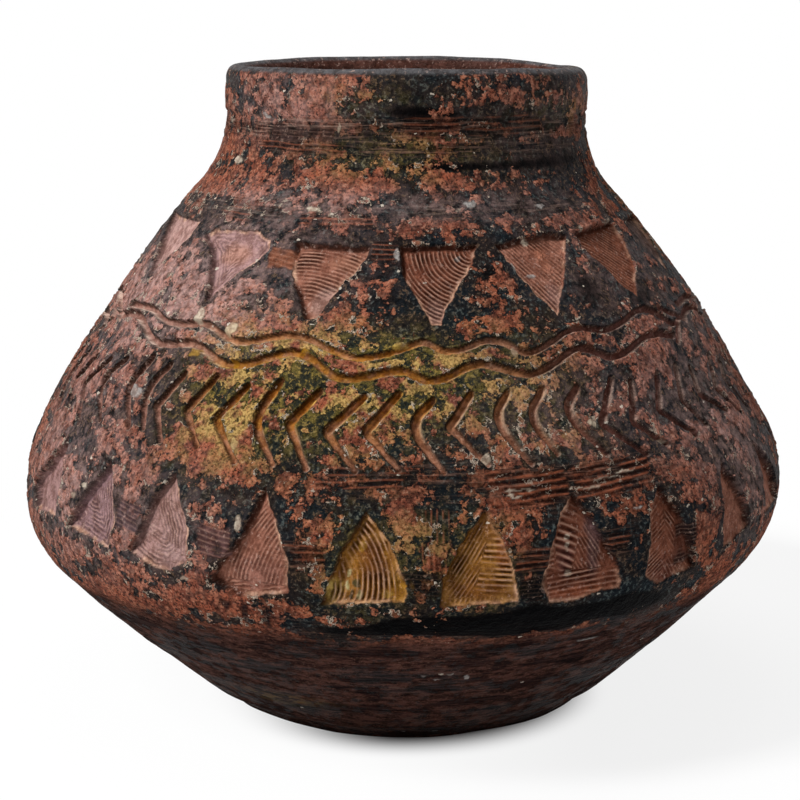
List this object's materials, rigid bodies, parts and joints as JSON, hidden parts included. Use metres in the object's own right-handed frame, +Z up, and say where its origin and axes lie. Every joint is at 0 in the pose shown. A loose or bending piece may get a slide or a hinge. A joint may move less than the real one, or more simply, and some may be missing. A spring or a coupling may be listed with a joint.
{
  "type": "large planter",
  "caption": "Wide, low-bellied hand-built clay planter with a short straight neck and carved bands of triangles, waves and chevrons.",
  "frame": {"origin": "on the ground, under the middle of the foot ring", "axes": "+Z up, along the jar's axis and out of its mouth; -Y faces the front, where the picture was taken from; +X to the viewer's right"},
  "size_m": [0.45, 0.45, 0.376],
  "materials": {
    "fired_clay": "matte, with a granular red-orange and dark slip skin"
  },
  "bodies": {
    "root": {"base_slab": "fired_clay", "foot_course": "fired_clay", "bowl_course": "fired_clay", "lower_triangle_course": "fired_clay", "chevron_course": "fired_clay", "wave_course": "fired_clay", "upper_triangle_course": "fired_clay", "shoulder_course": "fired_clay", "neck_course": "fired_clay", "rim_coil": "fired_clay"}
  },
  "joints": []
}
